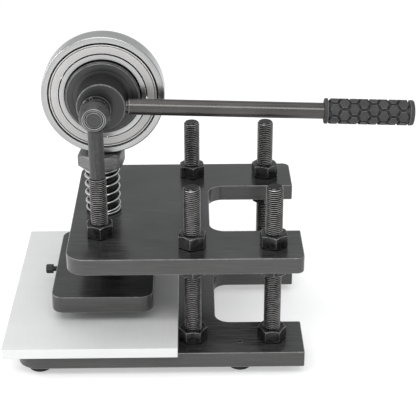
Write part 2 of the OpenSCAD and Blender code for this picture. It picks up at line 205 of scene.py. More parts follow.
def rounded(points, radius):
    """Profile with its sharp corners rounded, as (point, edge value) pairs; outer corners get 1, for
    scuffing and a painted highlight.
    The first and last points stay. The scuffing and painted highlight fade out over a short run of each
    long enough face."""
    wear_and_highlight_fade, steps = 0.3, 3
    gentle = math.radians(25)
    points = [Vector(point) for point in points]
    way_round = sum(a.cross(b) for a, b in zip(points, points[1:] + points[:1]))
    out = [(points[0], 0)]
    for before, corner, after in zip(points, points[1:], points[2:]):
        back, ahead = before - corner, after - corner
        if (-back).angle(ahead) < gentle:
            out.append((corner, 0))
            continue
        wear_and_highlight = 1 if ahead.cross(back) * way_round > 0 else 0
        inset = min(radius, 0.45 * back.length, 0.45 * ahead.length)
        if back.length > 2.5 * (inset + wear_and_highlight_fade):
            out.append((corner + back.normalized() * (inset + wear_and_highlight_fade), 0))
        a = corner + back.normalized() * inset
        b = corner + ahead.normalized() * inset
        for i in range(steps + 1):
            t = i / steps
            out.append(((1 - t) ** 2 * a + 2 * t * (1 - t) * corner + t ** 2 * b, wear_and_highlight))
        if ahead.length > 2.5 * (inset + wear_and_highlight_fade):
            out.append((corner + ahead.normalized() * (inset + wear_and_highlight_fade), 0))
    out.append((points[-1], 0))
    return out


def turned_faces(steps, count, closed):
    """Faces between the steps of a turned solid, each a profile of count points."""
    faces = []
    for i in range(steps):
        j = (i + 1) % steps
        for k in range(count if closed else count - 1):
            m = (k + 1) % count
            faces.append((i * count + k, j * count + k, j * count + m, i * count + m))
    return faces


def lathe(name, points, place, radius, steps, loop=False, wave=None):
    """Turned solid from (r, h) points, its corners rounded to radius.
    With loop, the profile closes on itself round a bore.
    wave(angle, r, h) can change the radius, for knurls."""
    if loop:
        ring = rounded(list(points) + list(points[:2]), radius)[1:-1]
    else:
        ring = rounded(points, radius)
    verts = []
    for i in range(steps):
        a = 2 * math.pi * i / steps
        for (r, h), _ in ring:
            r = wave(a, r, h) if wave else r
            verts.append((r * math.cos(a), r * math.sin(a), h))
    faces = turned_faces(steps, len(ring), loop)
    return make_object(name, verts, faces, place, wear_and_highlight=[share for _, share in ring] * steps)


def arc_corner(corner, into, out_of, radius, steps):
    """Points of a rounded right-angled corner, from one edge to the next."""
    a = corner - into * radius
    b = corner + out_of * radius
    centre = a + out_of * radius
    points = []
    for i in range(steps + 1):
        t = math.pi / 2 * i / steps
        points.append(centre + (a - centre) * math.cos(t) + (b - centre) * math.sin(t))
    return points


def plate_loop(corners, inset, steps=10):
    """Outline of a plate with right-angled corners, drawn inwards by inset.
    Corners are (x, y, radius), anticlockwise."""
    loop = []
    for i, (x, y, radius) in enumerate(corners):
        here = Vector((x, y))
        into = (here - Vector(corners[i - 1][:2])).normalized()
        out_of = (Vector(corners[(i + 1) % len(corners)][:2]) - here).normalized()
        convex = into.x * out_of.y - into.y * out_of.x > 0
        moved = here - inset * (Vector((into.y, -into.x)) + Vector((out_of.y, -out_of.x)))
        loop += arc_corner(moved, into, out_of, radius + (-inset if convex else inset), steps)
    return loop


def circle_loop(x, y, radius, steps=32):
    angles = [2 * math.pi * i / steps for i in range(steps)]
    return [Vector((x + radius * math.cos(a), y + radius * math.sin(a))) for a in angles]


def plate(name, corners, holes, bottom, top, edge=0.9):
    """Flat plate with rounded edges, from its outline's corners and its (x, y, radius) holes."""
    levels = []
    # Levels of the rounded edge; the middle two are marked for scuffing and a painted highlight.
    for i, wear_and_highlight in enumerate((0, 1, 1, 0)):
        t = math.pi / 2 * i / 3
        levels.append((edge * (1 - math.sin(t)), bottom + edge * (1 - math.cos(t)), wear_and_highlight))
    levels += [(inset, top + bottom - z, wear_and_highlight) for inset, z, wear_and_highlight in reversed(levels)]
    bm = bmesh.new()
    layer = bm.verts.layers.float.new("wear_and_highlight")
    end_edges = {0: [], len(levels) - 1: []}

    def wall(loop_at, wear_and_highlight_share):
        """Upright wall of an outline or a hole; the second argument scales its edges' scuffing and painted
        highlight.
        """
        rings = []
        for inset, z, wear_and_highlight in levels:
            ring = [bm.verts.new((p.x * MM, p.y * MM, z * MM)) for p in loop_at(inset)]
            for vert in ring:
                vert[layer] = wear_and_highlight * wear_and_highlight_share
            rings.append(ring)
        for a, b in zip(rings, rings[1:]):
            for k in range(len(a)):
                m = (k + 1) % len(a)
                bm.faces.new((a[k], a[m], b[m], b[k]))
        for level, edges in end_edges.items():
            ring = rings[level]
            edges += [bm.edges.get((ring[k], ring[(k + 1) % len(ring)])) for k in range(len(ring))]

    wall(lambda inset: plate_loop(corners, inset), 1)
    for x, y, radius in holes:
        wall(lambda inset: circle_loop(x, y, radius + 0.4 * inset), 0.3)
    for edges in end_edges.values():
        bmesh.ops.triangle_fill(bm, edges=edges, use_beauty=True, use_dissolve=False)
    bmesh.ops.recalc_face_normals(bm, faces=bm.faces)
    return link_mesh(name, bm)


def nut(name, place, af=NUT_AF, height=NUT_H, bore_r=THREAD_R + 0.05, edge=0.5):
    """Hexagonal nut or bolt head, its corners turned down at 30 degrees outside face_r.
    A bore_r of 0 makes it solid."""
    face_r = 0.47 * af
    mouth = 0.9
    verts = []
    steps = 72
    for i in range(steps):
        a = 2 * math.pi * i / steps
        side = (math.degrees(a) + 30) % 60 - 30
        flat_r = af / 2 / math.cos(math.radians(30 - abs(side)))
        drop = (flat_r - face_r) * math.tan(math.radians(30))
        if bore_r:
            column = [(bore_r, mouth), (bore_r + mouth, 0)]
        else:
            column = [(0, 0), (0.5 * face_r, 0)]
        column += [(face_r, 0), (flat_r, drop)]
        column += [(r, height - h) for r, h in reversed(column)]
        verts += [(r * math.cos(a), r * math.sin(a), h) for r, h in column]
    faces = turned_faces(steps, len(verts) // steps, bore_r > 0)
    obj = make_object(name, verts, faces, place, weighted=False)
    bevel = obj.modifiers.new("edges", "BEVEL")
    bevel.width = edge * MM
    bevel.segments = 2
    bevel.limit_method = "ANGLE"
    bevel.angle_limit = math.radians(25)
    bevel.harden_normals = True
    return obj


def threaded_rod(name, bottom, top, place, neck=None):
    """Rod with a real helical thread, chamfered at the bottom and at the top.
    With neck, (radius, height), a plain shank goes on from the thread's top to that height."""
    turn_steps = 32
    # One pitch of the thread: (share of the pitch, 1 on the crest and 0 at the root)
    shape = ((0.0, 1), (0.14, 1), (0.5, 0), (0.62, 0))
    tip_r = THREAD_R - 1.5
    end_r = neck[0] if neck else tip_r
    rows = (math.ceil((top - bottom) / THREAD_PITCH) + 1) * turn_steps
    verts, crest = [], []
    for i in range(rows + 1):
        a = 2 * math.pi * i / turn_steps
        for offset, share in shape:
            z = bottom + THREAD_PITCH * (i / turn_steps + offset - 1)
            r = THREAD_R - THREAD_DEPTH * (1 - share)
            z = min(max(z, bottom), top)
            r = min(r, tip_r + z - bottom)
            r = min(r, end_r + top - z) if not neck or z < top else end_r
            verts.append((r * math.cos(a), r * math.sin(a), z))
            # Crests are marked for scuffing and a painted highlight.
            crest.append(share)
    count = len(shape)
    faces = []
    for i in range(rows):
        here, after, above = i * count, (i + 1) * count, (i + turn_steps) * count
        faces += [(here + k, after + k, after + k + 1, here + k + 1) for k in range(count - 1)]
        if i + turn_steps < rows:
            faces.append((after - 1, after + count - 1, above + count, above))
    return capped_rod(name, verts, faces, crest, place, bottom, top, neck)


def capped_rod(name, verts, faces, crest, place, bottom, top, neck):
    """Closes a helicoid's two ends, adds the plain shank, and keeps each point's value for scuffing and
    painted highlight.
    """
    bm, wear_and_highlight = wear_and_highlight_bmesh(verts, faces, crest)
    bmesh.ops.remove_doubles(bm, verts=bm.verts, dist=FINE_WELD)
    bmesh.ops.dissolve_degenerate(bm, edges=bm.edges, dist=FINE_WELD)

    def lies_at(piece, z):
        return all(abs(v.co.z - z) < FINE_WELD for v in piece.verts)

    for z in (bottom, top):
        flat = [f for f in bm.faces if lies_at(f, z)]
        bmesh.ops.delete(bm, geom=flat, context="FACES")
    loose = [v for v in bm.verts if not v.link_faces]
    bmesh.ops.delete(bm, geom=loose, context="VERTS")
    for z in (bottom, top):
        rim = [e for e in bm.edges if e.is_boundary and lies_at(e, z)]
        if neck and z == top:
            for vert in {v for e in rim for v in e.verts}:
                vert[wear_and_highlight] = 0
            grown = bmesh.ops.extrude_edge_only(bm, edges=rim)["geom"]
            for vert in (g for g in grown if isinstance(g, bmesh.types.BMVert)):
                vert.co.z = neck[1]
                vert[wear_and_highlight] = 0
            rim = [g for g in grown if isinstance(g, bmesh.types.BMEdge) and lies_at(g, neck[1])]
        bmesh.ops.triangle_fill(bm, edges=rim, use_beauty=True, use_dissolve=True)
    bmesh.ops.recalc_face_normals(bm, faces=bm.faces)
    bm.transform(Matrix.Scale(MM, 4) @ place)
    return link_mesh(name, bm, sharp=38, weighted=False)


def cut(obj, cutter):
    """Takes the cutter's shape out of obj and deletes the cutter."""
    combine(obj, cutter, "DIFFERENCE")


def wear_and_highlight_of(obj):
    """(point, value for scuffing and painted highlight) for each point of a piece."""
    wear_and_highlight = obj.data.attributes["wear_and_highlight"].data
    return [(vert.co.copy(), wear_and_highlight[vert.index].value) for vert in obj.data.vertices]


def copy_wear_and_highlight(mesh, wear_and_highlight_points):
    """Gives each point of a mesh the scuffing-and-highlight value of the nearest of the given points."""
    tree = KDTree(len(wear_and_highlight_points))
    for i, (point, _) in enumerate(wear_and_highlight_points):
        tree.insert(point, i)
    tree.balance()
    if "wear_and_highlight" in mesh.attributes:
        mesh.attributes.remove(mesh.attributes["wear_and_highlight"])
    wear_and_highlight = mesh.attributes.new("wear_and_highlight", "FLOAT", "POINT").data
    for vert in mesh.vertices:
        wear_and_highlight[vert.index].value = wear_and_highlight_points[tree.find(vert.co)[1]][1]


def combine(obj, other, operation):
    """Joins or subtracts other by a boolean, tidies the seam, carries the values for scuffing and
    painted highlight over and deletes other."""
    wear_and_highlight_points = wear_and_highlight_of(obj) + wear_and_highlight_of(other)
    for piece in (obj, other):
        for modifier in [m for m in piece.modifiers if m.type == "WEIGHTED_NORMAL"]:
            piece.modifiers.remove(modifier)
    boolean = obj.modifiers.new("combine", "BOOLEAN")
    boolean.operation = operation
    boolean.object = other
    boolean.solver = "EXACT"
    bpy.context.view_layer.update()
    done = bpy.data.meshes.new_from_object(obj.evaluated_get(bpy.context.evaluated_depsgraph_get()))
    bm = bmesh.new()
    bm.from_mesh(done)
    bmesh.ops.remove_doubles(bm, verts=bm.verts, dist=BOOLEAN_WELD * MM)
    bmesh.ops.dissolve_degenerate(bm, edges=bm.edges, dist=BOOLEAN_WELD * MM)
    bm.to_mesh(done)
    bm.free()
    copy_wear_and_highlight(done, wear_and_highlight_points)
    obj.modifiers.clear()
    obj.data = done
    bpy.data.objects.remove(other)
    smooth(obj.data, SHARP_ANGLE)
    add_weighted_normals(obj)


# ---- Materials ----

class Nodes:
    """A material's node tree, with short calls for the nodes used here."""

    def __init__(self, name, **uniform):
        self.material = bpy.data.materials.new(name)
        self.material.use_nodes = True
        self.tree = self.material.node_tree
        self.shader = self.tree.nodes["Principled BSDF"]
        for socket, value in uniform.items():
            self.shader.inputs[socket.replace("_", " ")].default_value = value

    def add(self, kind, inputs=None, **settings):
        node = self.tree.nodes.new(kind)
        for key, value in settings.items():
            setattr(node, key, value)
        for key, value in (inputs or {}).items():
            if isinstance(value, bpy.types.NodeSocket):
                self.tree.links.new(value, node.inputs[key])
            else:
                node.inputs[key].default_value = value
        return node

    def place(self, scale=(1, 1, 1)):
        """Position on the piece at rest, in metres, stretched by scale."""
        where = self.add("ShaderNodeTexCoord").outputs["Object"]
        return self.add("ShaderNodeMapping", {"Vector": where, "Scale": scale}).outputs["Vector"]

    def noise(self, scale, stretch=(1, 1, 1), detail=4, rough=0.55):
        inputs = {"Vector": self.place(stretch), "Scale": scale, "Detail": detail, "Roughness": rough}
        return self.add("ShaderNodeTexNoise", inputs).outputs["Fac"]

    def ramp(self, value, low_at, high_at, low_value=0.0, high_value=1.0):
        inputs = {"Value": value, "From Min": low_at, "From Max": high_at,
                  "To Min": low_value, "To Max": high_value}
        return self.add("ShaderNodeMapRange", inputs).outputs["Result"]

    def math(self, operation, a, b):
        return self.add("ShaderNodeMath", {0: a, 1: b}, operation=operation).outputs[0]

    def blend(self, a, b, share):
        """Mean of two values, with this share of the first."""
        return self.math("ADD", self.math("MULTIPLY", a, share), self.math("MULTIPLY", b, 1 - share))

    def mix(self, share, a, b):
        return self.add("ShaderNodeMix", {0: share, 6: a, 7: b}, data_type="RGBA").outputs[2]

    def tones(self, value, dark, light, spread=0.12):
        """From dark to light as a noise passes its middle."""
        return self.mix(self.ramp(value, 0.5 - spread, 0.5 + spread), dark, light)

    def edges(self, radius):
        """1 on edges, which take scuffing and a painted highlight, 0 on faces, from the cosine between the
        true and the bevelled normal.
        """
        true = self.add("ShaderNodeNewGeometry").outputs["Normal"]
        soft = self.add("ShaderNodeBevel", {"Radius": radius}, samples=6).outputs["Normal"]
        facing = self.add("ShaderNodeVectorMath", {0: true, 1: soft}, operation="DOT_PRODUCT")
        return self.ramp(facing.outputs["Value"], 0.985, 0.85)

    def wear_and_highlight(self, share=1.0):
        """The mesh's own attribute for scuffed edges and painted highlights, broken up a little."""
        wear_and_highlight_mask = self.add("ShaderNodeAttribute", attribute_name="wear_and_highlight").outputs["Fac"]
        patches = self.ramp(self.noise(170, detail=5), 0.35, 0.6, 0.45 * share, share)
        return self.math("MULTIPLY", wear_and_highlight_mask, patches)

    def lies_flat(self):
        """1 on faces that look up or down, 0 on upright sides."""
        normal = self.add("ShaderNodeNewGeometry").outputs["Normal"]
        height = self.add("ShaderNodeSeparateXYZ", {0: normal}).outputs["Z"]
        return self.ramp(self.math("ABSOLUTE", height, 0), 0.5, 0.8)

    def colour(self, base, reach, deepest_painted_shade):
        """Sets the base colour, darkened as painted shade in grooves and near other parts, down to the
        given share where it is deepest.
        """
        seen = self.add("ShaderNodeAmbientOcclusion", {"Distance": reach}, samples=8).outputs["AO"]
        share = self.ramp(seen, 0.4, 0.85, deepest_painted_shade, 1)
        grey_share = self.add("ShaderNodeCombineColor", {0: share, 1: share, 2: share}).outputs[0]
        # Painted shade multiplied into the base colour.
        painted_shade_base = self.add("ShaderNodeMix", {0: 1, 6: base, 7: grey_share}, data_type="RGBA",
                         blend_type="MULTIPLY")
        self.link("Base Color", painted_shade_base.outputs[2])

    def roughness(self, value, smoothest, roughest):
        self.link("Roughness", self.ramp(value, 0.3, 0.7, smoothest, roughest))

    def bump(self, height, distance, strength):
        inputs = {"Height": height, "Distance": distance, "Strength": strength}
        self.link("Normal", self.add("ShaderNodeBump", inputs).outputs["Normal"])

    def link(self, socket, value):
        self.tree.links.new(value, self.shader.inputs[socket])


def grey(value, warmth=0.0):
    return (value * (1 + warmth), value, value * (1 - warmth), 1)


def brushed_paint(name, dark, light, side, roughness):
    """Dark semi-gloss finish over straight brushing: upright sides lighter as painted light, lighter edges
    that are partly scuffing and partly a painted highlight, and painted shade in grooves.
    """
    n = Nodes(name)
    streaks = n.noise(60, (0.5, 14, 14), detail=7, rough=0.65)
    clouds = n.noise(9, detail=3)
    tone = n.blend(streaks, clouds, 0.65)
    tone = n.ramp(tone, 0.38, 0.62)
    flat = n.mix(tone, grey(dark), grey(light))
    # Painted light: upright sides are made lighter than the tops.
    painted_lit_side = n.mix(tone, grey(side * 0.8, 0.02), grey(side * 1.25, 0.02))
    base = n.mix(n.lies_flat(), painted_lit_side, flat)
    # Lighter edges: partly scuffing, partly a painted highlight.
    base = n.mix(n.wear_and_highlight(0.8), base, grey(0.22))
    # Painted shade in grooves and next to other parts.
    n.colour(base, 0.003, 0.4)
    n.roughness(streaks, roughness - 0.05, roughness + 0.07)
    n.bump(streaks, 0.00003, 0.5)
    return n.material


def turned_steel(name, dark, light, roughness, centre, metallic=1.0, wear_and_highlight=0.7, warmth=0.0,
                  across="XZ", painted_shade=0.15, painted_shade_reach=0.002):
    """Steel turned or ground round an axis through centre: fine rings, clouds, lighter edges that are
    partly scuffing and partly a painted highlight, and painted shade in grooves. across is the plane that
    the axis stands on."""
    n = Nodes(name, Metallic=metallic, Anisotropic=0.5)
    where = n.add("ShaderNodeTexCoord").outputs["Object"]
    from_axis = n.add("ShaderNodeVectorMath", {0: where, 1: tuple(c * MM for c in centre)},
                      operation="SUBTRACT").outputs["Vector"]
    keep, axis = ((1, 0, 1), (0, 1, 0)) if across == "XZ" else ((1, 1, 0), (0, 0, 1))
    flat = n.add("ShaderNodeVectorMath", {0: from_axis, 1: keep}, operation="MULTIPLY").outputs["Vector"]
    radius = n.add("ShaderNodeVectorMath", {0: flat}, operation="LENGTH").outputs["Value"]
    depth = n.add("ShaderNodeSeparateXYZ", {0: from_axis}).outputs["Y" if across == "XZ" else "Z"]
    lines = n.add("ShaderNodeCombineXYZ", {0: radius, 1: depth}).outputs["Vector"]
    rings = n.add("ShaderNodeTexNoise", {"Vector": lines, "Scale": 900, "Detail": 5}).outputs["Fac"]
    around = n.add("ShaderNodeVectorMath", {0: flat, 1: axis}, operation="CROSS_PRODUCT").outputs["Vector"]
    clouds = n.noise(25, detail=3)
    tone = n.blend(rings, clouds, 0.6)
    base = n.tones(tone, grey(dark, warmth), grey(light, warmth), 0.15)
    # Lighter edges: partly scuffing, partly a painted highlight.
    base = n.mix(n.wear_and_highlight(0.9), base, grey(wear_and_highlight, warmth))
    # Painted shade in grooves and next to other parts.
    n.colour(base, painted_shade_reach, painted_shade)
    n.roughness(rings, roughness - 0.06, roughness + 0.08)
    n.bump(rings, 0.00001, 0.3)
    n.link("Tangent", n.add("ShaderNodeVectorMath", {0: around}, operation="NORMALIZE").outputs["Vector"])
    return n.material


def forged_steel(name, dark, light, wear_and_highlight):
    """Satin dark forging with faint drawn lines up the shank, lighter edges that are partly scuffing and
    partly a painted highlight, and painted shade in grooves.
    """
    n = Nodes(name, Metallic=0.45)
    drawn = n.noise(70, (14, 14, 0.8), detail=6, rough=0.65)
    skin = n.noise(260, detail=6, rough=0.7)
    tone = n.blend(drawn, skin, 0.6)
    base = n.tones(tone, grey(dark), grey(light))
    # Lighter edges: partly scuffing, partly a painted highlight.
    base = n.mix(n.wear_and_highlight(), base, grey(wear_and_highlight))
    # Painted shade in grooves and next to other parts.
    n.colour(base, 0.0018, 0.1)
    n.roughness(skin, 0.3, 0.45)
    n.bump(skin, 0.00004, 0.4)
    return n.material


def black_oxide(name, dark=0.022, light=0.06, wear_and_highlight=0.9):
    """Blackened steel, with lighter corners that are partly scuffing and partly a painted highlight, and
    painted shade in grooves.
    """
    n = Nodes(name, Metallic=0.85)
    mottle = n.noise(180, detail=6, rough=0.7)
    base = n.tones(mottle, grey(dark), grey(light))
    # Lighter corners: partly scuffing, partly a painted highlight.
    edge = n.math("MULTIPLY", n.edges(0.0015), n.ramp(n.noise(500, detail=4), 0.3, 0.6, 0.6, 1))
    base = n.mix(edge, base, grey(wear_and_highlight))
    # Painted shade in grooves and next to other parts.
    n.colour(base, 0.0015, 0.2)
    n.roughness(mottle, 0.22, 0.4)
    n.bump(mottle, 0.00004, 0.4)
    return n.material


def thread_steel(name):
    """Dark thread whose crests are made bright: partly scuffing, partly a painted highlight."""
    n = Nodes(name, Metallic=0.9)
    wear_and_highlight = n.add("ShaderNodeAttribute", attribute_name="wear_and_highlight").outputs["Fac"]
    patch = n.ramp(n.noise(160, detail=5), 0.35, 0.62, 0.6, 1)
    # Crests made bright: partly scuffing, partly a painted highlight.
    share = n.math("MULTIPLY", n.math("POWER", wear_and_highlight, 2.5), patch)
    n.link("Base Color", n.mix(share, grey(0.006, 0.02), grey(0.42, 0.02)))
    n.roughness(n.noise(400, detail=4), 0.22, 0.4)
    return n.material


def gunmetal(name):
    """Smooth drawn rod with a dark, slightly warm finish that takes a sharp highlight."""
    n = Nodes(name, Metallic=0.75)
    drawn = n.noise(90, (0.6, 12, 12), detail=4)
    clouds = n.noise(30, detail=4)
    tone = n.blend(drawn, clouds, 0.35)
    base = n.tones(tone, grey(0.066, 0.06), grey(0.088, 0.05))
    # Lighter edges: partly scuffing, partly a painted highlight.
    n.link("Base Color", n.mix(n.wear_and_highlight(), base, grey(0.35, 0.03)))
    n.roughness(clouds, 0.22, 0.29)
    n.bump(drawn, 0.000004, 0.3)
    return n.material


def rubber(name, dark=0.012, light=0.02):
    n = Nodes(name, Specular_IOR_Level=0.3)
    grain = n.noise(1400, detail=5, rough=0.7)
    smears = n.noise(45, detail=4)
    base = n.tones(smears, grey(dark), grey(light), 0.15)
    # Edges five times lighter: a painted highlight, with some scuffing.
    base = n.mix(n.edges(0.0009), base, grey(light * 5))
    # Painted shade, nearly black in the grooves.
    n.colour(base, 0.003, 0.02)
    n.roughness(smears, 0.47, 0.65)
    n.bump(grain, 0.00006, 0.5)
    return n.material


def board_plastic(name):
    """Polyethylene: fine grain and faint straight scuffs on the face; its upright sawn edges are painted
    lighter, as painted light.
    """
    n = Nodes(name, Specular_IOR_Level=0.3)
    grain = n.noise(900, detail=4, rough=0.6)
    smears = n.noise(12, (1, 3, 1), detail=4)
    scuffs = n.noise(60, (14, 0.6, 1), detail=5)
    tone = n.blend(smears, scuffs, 0.6)
    face = n.tones(tone, grey(0.61), grey(0.66), 0.15)
    # Painted light: the upright sides get a lighter tone than the face.
    n.link("Base Color", n.mix(n.lies_flat(), n.mix(tone, grey(0.64), grey(0.7)), face))
    n.roughness(scuffs, 0.42, 0.56)
    n.bump(grain, 0.00003, 0.4)
    return n.material


ON_PLUNGER = (PRESS_X, PRESS_Y, 0)
MATERIALS = {
    "plate_steel": brushed_paint("plate_paint", 0.004, 0.046, 0.049, 0.2),
    "hub_steel": turned_steel("hub_turned", 0.03, 0.06, 0.3, HUB, metallic=0.6, wear_and_highlight=0.16, painted_shade=0.03),
    "plunger_steel": turned_steel("plunger_turned", 0.11, 0.24, 0.32, ON_PLUNGER, metallic=0.75, wear_and_highlight=0.8,
                                  across="XY"),
    # A darker copy of the plunger's turned steel for its shank: painted shade inside the spring.
    "shaded_shank_steel": turned_steel("plunger_shank_painted_shade", 0.015, 0.04, 0.3, ON_PLUNGER, metallic=0.6, wear_and_highlight=0.2,
                                across="XY"),
    "stud_steel": thread_steel("stud_thread"),
    "nut_steel": black_oxide("nut_oxide"),
    "screw_steel": black_oxide("screw_oxide", 0.01, 0.022, 0.1),
    "forged_steel": forged_steel("eye_bolt_forged", 0.032, 0.068, 0.32),
    "circlip_steel": black_oxide("circlip_oxide", 0.06, 0.12, 0.7),
    "shaft_steel": turned_steel("shaft_turned", 0.05, 0.09, 0.34, SHAFT, metallic=0.7, wear_and_highlight=0.22),
    "bearing_steel": turned_steel("bearing_ground", 0.34, 0.49, 0.24, HUB, wear_and_highlight=0.55, painted_shade=0.04,
                                  painted_shade_reach=0.005),
    "shield_steel": turned_steel("shield_pressed", 0.42, 0.51, 0.42, HUB, metallic=0.75, warmth=0.015,
                                 painted_shade=0.04, painted_shade_reach=0.004),
    "ball_steel": turned_steel("ball_polished", 0.65, 0.75, 0.12, HUB),
    "cage_steel": turned_steel("cage_pressed", 0.4, 0.5, 0.4, HUB),
    "spring_steel": turned_steel("spring_wire", 0.5, 0.65, 0.22, ON_PLUNGER, across="XY", painted_shade=0.1),
    "lever_steel": gunmetal("lever_gunmetal"),
    "grip_rubber": rubber("grip_rubber", 0.03, 0.048),
    "foot_rubber": rubber("foot_rubber"),
    "board_plastic": board_plastic("board_polyethylene"),
}


def finish_piece(obj, body, slot, nodes, material=None):
    """Gives a piece the material of its slot, or the material named, puts it on its body and hides the CAD
    nodes it stands for.
    """
    obj.data.materials.clear()
    obj.data.materials.append(MATERIALS[material or slot])
    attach(obj, body)
    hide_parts(*nodes)


def paint_below(obj, z, material):
    """Gives the faces below z, in millimetres, a second material."""
    obj.data.materials.append(MATERIALS[material])
    for polygon in obj.data.polygons:
        if polygon.center.z < z * MM:
            polygon.material_index = 1


# ---- Plates and board ----

def notched_corners(node, left_round, right_round, notch_left):
    """Corners of a plate with a notch open to the right, for plate()."""
    lo, hi = low(node), high(node)
    notch_x = PRESS_X + notch_left
    notch_half_width = 50
    near, far = PRESS_Y - notch_half_width, PRESS_Y + notch_half_width
    mouth_round, notch_round = 1.5, 14.5
    return [
        (lo.x, lo.y, left_round), (hi.x, lo.y, right_round),
        (hi.x, near, mouth_round), (notch_x, near, notch_round),
        (notch_x, far, notch_round), (hi.x, far, mouth_round),
        (hi.x, hi.y, right_round), (lo.x, hi.y, left_round),
    ]


def rectangle_corners(node, radius):
    lo, hi = low(node), high(node)
    return [(lo.x, lo.y, radius), (hi.x, lo.y, radius), (hi.x, hi.y, radius), (lo.x, hi.y, radius)]


def stud_holes(radius):
    return [(middle(node).x, middle(node).y, radius) for node in STUD_NODES]


def make_plates():
    foot_holes = [(x, y, FOOT_SCREW_R + 0.1) for x, y in FOOT_PLACES]
    base = plate("base_plate_steel",
                 notched_corners("base_plate", left_round=20, right_round=1.6, notch_left=108),
                 stud_holes(THREAD_R + 0.05) + foot_holes, low("base_plate").z, BASE_TOP)
    finish_piece(base, "frame", "plate_steel", ["base_plate"])

    eye_holes = [(PRESS_X, middle(node).y, THREAD_R + 0.25) for node in EYE_BOLT_NODES]
    plunger_hole = [(PRESS_X, PRESS_Y, PLUNGER_R + 0.1)]
    head = plate("head_plate_steel",
                 notched_corners("head_plate", left_round=18, right_round=7, notch_left=103),
                 stud_holes(THREAD_R + 0.75) + eye_holes + plunger_hole, HEAD_BOTTOM, HEAD_TOP)
    finish_piece(head, "head", "plate_steel", ["head_plate"])

    press = plate("press_plate_steel", rectangle_corners("press_plate", 12),
                  [(PRESS_X, PRESS_Y, SPIGOT_R + 0.05)], low("press_plate").z, high("press_plate").z)
    finish_piece(press, "ram", "plate_steel", ["press_plate"])

    board = plate("cutting_board_plastic", rectangle_corners("cutting_board", 1.2), [],
                  low("cutting_board").z, high("cutting_board").z, edge=0.45)
    finish_piece(board, "board", "board_plastic", ["cutting_board"])


# ---- Studs, nuts and feet ----

def make_studs():
    for node in STUD_NODES:
        spot = middle(node)
        rod = threaded_rod(node + "_thread", low(node).z, high(node).z, upright(spot.x, spot.y))
        finish_piece(rod, "frame", "stud_steel", [node])


def make_nut_set(node, body, bolts, z, turns):
    """One piece of equal nuts, one on each bolt, each turned by its own angle in degrees."""
    nuts = [nut(node + "_hex", upright(middle(bolt).x, middle(bolt).y, z, turn))
            for bolt, turn in zip(bolts, turns)]
    finish_piece(join(node + "_hex", nuts), body, "nut_steel", [node])


def make_nuts():
    below_head = HEAD_BOTTOM - NUT_H
    make_nut_set("base_lock_nuts", "frame", STUD_NODES, BASE_TOP, (0, 0, 0, 0))
    make_nut_set("lower_plate_nuts", "head", STUD_NODES, below_head, (30, 30, 30, 30))
    make_nut_set("upper_plate_nuts", "head", STUD_NODES, HEAD_TOP, (21, 34.6, 36, 42))
    make_nut_set("eye_bolt_upper_nuts", "head", EYE_BOLT_NODES, HEAD_TOP, (36, 36))
    make_nut_set("eye_bolt_lower_nuts", "head", EYE_BOLT_NODES, below_head, (0, 0))


def make_feet():
    foot_top = low("base_plate").z
    screw_top = BASE_TOP - 0.4
    recess_r, recess_h = 5.2, 4
    head_r, head_bottom = 4.8, 1
    hole_r = FOOT_SCREW_R + 0.2
    foot_profile = [(recess_r, 0), (FOOT_R - 1.6, 0), (FOOT_R - 0.6, 0.9), (FOOT_R - 0.2, 6),
                    (FOOT_R, foot_top), (hole_r, foot_top), (hole_r, recess_h), (recess_r, recess_h)]
    screw_profile = [(0, head_bottom), (head_r - 1, head_bottom), (head_r, head_bottom + 1),
                     (head_r, recess_h), (FOOT_SCREW_R, recess_h), (FOOT_SCREW_R, screw_top),
                     (0, screw_top)]
    feet, screws = [], []
    for x, y in FOOT_PLACES:
        place = upright(x, y)
        feet.append(lathe("feet", foot_profile, place, 0.6, 48, loop=True))
        screw = lathe("screws", screw_profile, place, 0.4, 32)
        cut(screw, nut("driver", place, af=3, height=2.4, bore_r=0, edge=0.1))
        screws.append(screw)
    finish_piece(join("feet_moulded", feet), "frame", "foot_rubber", ["rubber_feet"])
    finish_piece(join("foot_screws_turned", screws), "frame", "nut_steel", ["foot_screws"])


# ---- Eye bolts and shaft ----

def make_eye_bolt(node):
    """Ball-shaped eye with two flats, joined to the plain shank above the thread."""
    spot = middle(node)
    eye_r, shank_r, thread_top = 14.5, 7.1, 185
    chamfer = 0.7
    shank_top = SHAFT.z - EYE_BORE_R - 1.5
    bolt = threaded_rod(node + "_forged", low(node).z, thread_top, upright(spot.x, spot.y),
                        neck=(shank_r, shank_top))
    arc = []
    arc_steps = 12
    for i in range(arc_steps + 1):
        h = -EYE_HALF_WIDTH + 2 * EYE_HALF_WIDTH * i / arc_steps
        arc.append((math.sqrt(eye_r ** 2 - h ** 2), h))
    mouth = [(EYE_BORE_R, -EYE_HALF_WIDTH + chamfer), (EYE_BORE_R + chamfer, -EYE_HALF_WIDTH)]
    profile = mouth + arc + [(r, -h) for r, h in reversed(mouth)]
    eye = lathe(node + "_eye", profile, along_shaft((spot.x, spot.y, SHAFT.z)), 0.25, 96, loop=True)
    combine(bolt, eye, "UNION")
    finish_piece(bolt, "head", "forged_steel", [node])
    paint_below(bolt, thread_top, "stud_steel")


